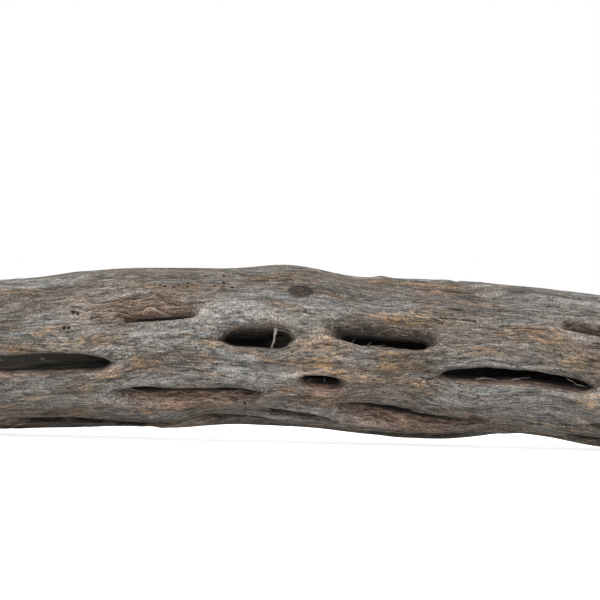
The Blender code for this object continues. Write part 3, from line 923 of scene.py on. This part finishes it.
# Closed three-sided tubes round spines of points: three corners, a third of a turn apart, a width away
# from each point in the plane of outward and sideways
def tubesAround(spine, outward, sideways, width):
    count, points = width.shape
    spine, outward, sideways = (table.reshape(count, points, 3) for table in (spine, outward, sideways))
    corners = []
    for corner in range(3):
        bearing = 2.0 * np.pi * corner / 3.0
        corners.append(spine + width[..., None] * (np.cos(bearing) * outward + np.sin(bearing) * sideways))
    spots = np.stack(corners, axis=2)
    spots[..., 2] = np.maximum(spots[..., 2], 0.0)
    number = np.arange(count * points * 3).reshape(count, points, 3)
    ahead = np.roll(number, -1, axis=2)
    quads = quadsBetween(number[:, :-1], number[:, 1:], ahead[:, 1:], ahead[:, :-1])
    faces = quads.tolist() + number[:, 0, ::-1].tolist() + number[:, -1].tolist()
    return spots.reshape(-1, 3), faces


# Scattered fibres: each follows a grain line on the outer surface from a fixed root, its lift growing as
# t^1.6 along it, and narrows to almost nothing as sqrt(1.02 - t)
def scatterFibres(slits):
    draw = np.random.default_rng(looseFibres["seed"])
    count = looseFibres["count"]
    start = draw.uniform(*looseFibres["places"], count)
    angle = draw.uniform(*looseFibres["angles"], count)
    onRim = draw.uniform(0.0, 1.0, count) < looseFibres["rimShare"]
    chosen = [slits[number] for number in draw.integers(0, len(slits), count)]
    middle, reach, rowAngle = (
        np.array([slit[name] for slit in chosen]) for name in ("middle", "reach", "rowAngle"))
    rimPlace = middle + draw.uniform(*looseFibres["alongRim"], count) * reach
    rimAngle = rowAngle + draw.choice((-1.0, 1.0), count) * draw.uniform(*looseFibres["besideRim"], count)
    start = np.clip(np.where(onRim, rimPlace, start), looseFibres["places"][0], looseFibres["lastRoot"])
    angle = np.where(onRim, rimAngle, angle)
    length = draw.uniform(*looseFibres["length"], count) * draw.choice((-1.0, 1.0), count)
    lift = draw.uniform(*looseFibres["lift"], count)
    thick = draw.uniform(*looseFibres["thickness"], count)
    drift = draw.normal(0.0, looseFibres["drift"], count)
    t = np.linspace(0.0, 1.0, looseFibres["points"])
    reach = looseFibres["reach"]
    place = np.clip(start[:, None] + length[:, None] * t, -reach, reach).ravel()
    turn = (angle[:, None] + drift[:, None] * t ** 2).ravel()
    noBank = np.zeros(len(place), dtype=int)
    base, _, openAngle = woodPoint(place, turn, noBank, np.ones(len(place)), slits)[:3]
    outward, sideways = directionsAt(openAngle)
    spine = base + outward * (lift[:, None] * t ** 1.6).reshape(-1, 1)
    return tubesAround(spine, outward, sideways, thick[:, None] * np.sqrt(np.clip(1.02 - t, 0.0, 1.0)))


# Placed fibres: a line from root to tip at a depth below the outer surface, with a wriggle of two sines,
# half as thick at the tip as at the root. Those that run round the stem have their width along it.
def placeFibres():
    table = np.array(placedFibres)
    t = np.linspace(0.0, 1.0, looseFibres["points"])
    place = ((table[:, 0:1] * (1.0 - t) + table[:, 2:3] * t) * mm).ravel()
    angle = np.radians(table[:, 1:2] * (1.0 - t) + table[:, 3:4] * t).ravel()
    phase = np.arange(len(table))[:, None] * 1.7
    wriggle = table[:, 6:7] * mm * (0.7 * np.sin(5.5 * t + phase) + 0.4 * np.sin(13.0 * t + 2.0 * phase))
    radius = throughStations(radiusStations, place) - np.repeat(table[:, 4], len(t)) * mm
    outward, sideways = directionsAt(angle)
    spine = stemPoint(place, angle, radius)
    spine[:, 0] += wriggle.ravel()
    spine += sideways * 0.5 * wriggle.reshape(-1, 1)
    perDegree = 0.44  # millimetres of the outer surface in a degree
    steep = np.abs(table[:, 1] - table[:, 3]) * perDegree > np.abs(table[:, 0] - table[:, 2])
    sideways = np.where(np.repeat(steep, len(t))[:, None], (1.0, 0.0, 0.0), sideways)
    width = table[:, 5:6] * mm * (1.0 - 0.5 * t ** 3) * (1.0 + 0.25 * np.sin(9.0 * t + phase))
    return tubesAround(spine, outward, sideways, width)


# Both kinds of fibre as one mesh
def makeFibres(slits):
    spots, faces = scatterFibres(slits)
    placedSpots, placedFaces = placeFibres()
    shifted = [[corner + len(spots) for corner in face] for face in placedFaces]
    mesh = bpy.data.meshes.new("looseFibres")
    mesh.from_pydata(np.concatenate((spots, placedSpots)).tolist(), [], faces + shifted)
    mesh.update()
    return mesh


# Pale fibre: straw colour, streaked along each fibre
def fibreMaterial():
    material, tree, shader = newMaterial("paleFibre")
    streaks = grainTexture(addNode(tree, "TexCoord").outputs["Object"], 180, 900, 2.0)
    colour = shade(looseFibres["colour"], remap(streaks, 0.35, 0.65, 0.55, 1.25))
    setInputs(shader, {"Base Color": colour, "Roughness": looseFibres["roughness"]})
    return material


fibreMesh = makeFibres(slits)
fibreMesh.materials.append(fibreMaterial())
fibres = addObject("looseFibres", fibreMesh)
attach(fibres, "root")
print("loose fibres:", looseFibres["count"], "scattered and", len(placedFibres), "placed")


floorSet = {
    "size": 6.0,
    "colour": (0.86, 0.86, 0.855, 1.0),
    "roughness": 0.9,
    "specular": 0.1,
    "glow": 0.90,
    "below": 0.0002,  # how far it lies under the stem, so that they don't share a plane
}
photoView = {
    "imageWidth": 600,  # pixels
    "mmPerPixel": 0.3226,  # at the stem's axis
    "lens": 150.0,
    "sensor": 36.0,
    "height": 0.0458,  # of the picture's middle above the floor
    "lean": -1.43,  # the stem runs down to the right by this many degrees
}
lights = {
    "world": 0.55,
    "worldSeen": 1.0,
    "key": {"place": (-0.35, -0.95, 1.25), "size": 1.0, "power": 21.0},
    "fill": {"place": (0.5, -1.3, 0.10), "size": 1.2, "power": 8.0},
    "floorWash": {"place": (0.0, 0.9, 1.6), "size": 1.6, "power": 9.0},
}


# Whether the camera sees a point itself, 1, or it only lights something else, 0
def seenByCamera(tree):
    return addNode(tree, "LightPath").outputs["Is Camera Ray"]


# A level square, which glows for the camera only, so that it looks as pale as a lit backdrop
def makeFloor():
    half, level = 0.5 * floorSet["size"], -floorSet["below"]
    corners = [(-half, -half, level), (half, -half, level), (half, half, level), (-half, half, level)]
    mesh = bpy.data.meshes.new("floor")
    mesh.from_pydata(corners, [], [(0, 1, 2, 3)])
    material, tree, shader = newMaterial("paleFloor")
    setInputs(shader, {"Base Color": floorSet["colour"], "Roughness": floorSet["roughness"],
                       "Specular IOR Level": floorSet["specular"], "Emission Color": floorSet["colour"],
                       "Emission Strength": times(seenByCamera(tree), floorSet["glow"])})
    mesh.materials.append(material)
    addObject("floor", mesh)


# An area light that faces the origin
def addLight(name):
    settings = lights[name]
    light = bpy.data.lights.new(name, "AREA")
    light.size = settings["size"]
    light.energy = settings["power"]
    lamp = addObject(name, light)
    lamp.location = settings["place"]
    x, y, z = settings["place"]
    lamp.rotation_euler = (np.arctan2(np.hypot(x, y), z), 0.0, np.arctan2(y, x) + 0.5 * np.pi)


# An even white world, brighter where the camera sees it than as a light
def makeWorld():
    world = bpy.data.worlds.new("studio")
    world.use_nodes = True
    tree = world.node_tree
    strength = remap(seenByCamera(tree), 0.0, 1.0, lights["world"], lights["worldSeen"])
    setInputs(tree.nodes["Background"], {"Color": (1.0, 1.0, 1.0, 1.0), "Strength": strength})
    bpy.context.scene.world = world


# Distance at which the picture is imageWidth times mmPerPixel wide at the stem's axis
def makeCamera():
    data = bpy.data.cameras.new("camera")
    data.lens = photoView["lens"]
    data.sensor_width = photoView["sensor"]
    camera = addObject("camera", data)
    span = photoView["imageWidth"] * photoView["mmPerPixel"] * mm
    camera.location = (0.0, -span * photoView["lens"] / photoView["sensor"], photoView["height"])
    camera.rotation_mode = "XYZ"
    camera.rotation_euler = (np.radians(90.0), np.radians(photoView["lean"]), 0.0)
    bpy.context.scene.camera = camera


makeFloor()
makeWorld()
for lightName in ("key", "fill", "floorWash"):
    addLight(lightName)
makeCamera()
bpy.context.scene.view_settings.view_transform = "Standard"
print("stage, lights and camera set")
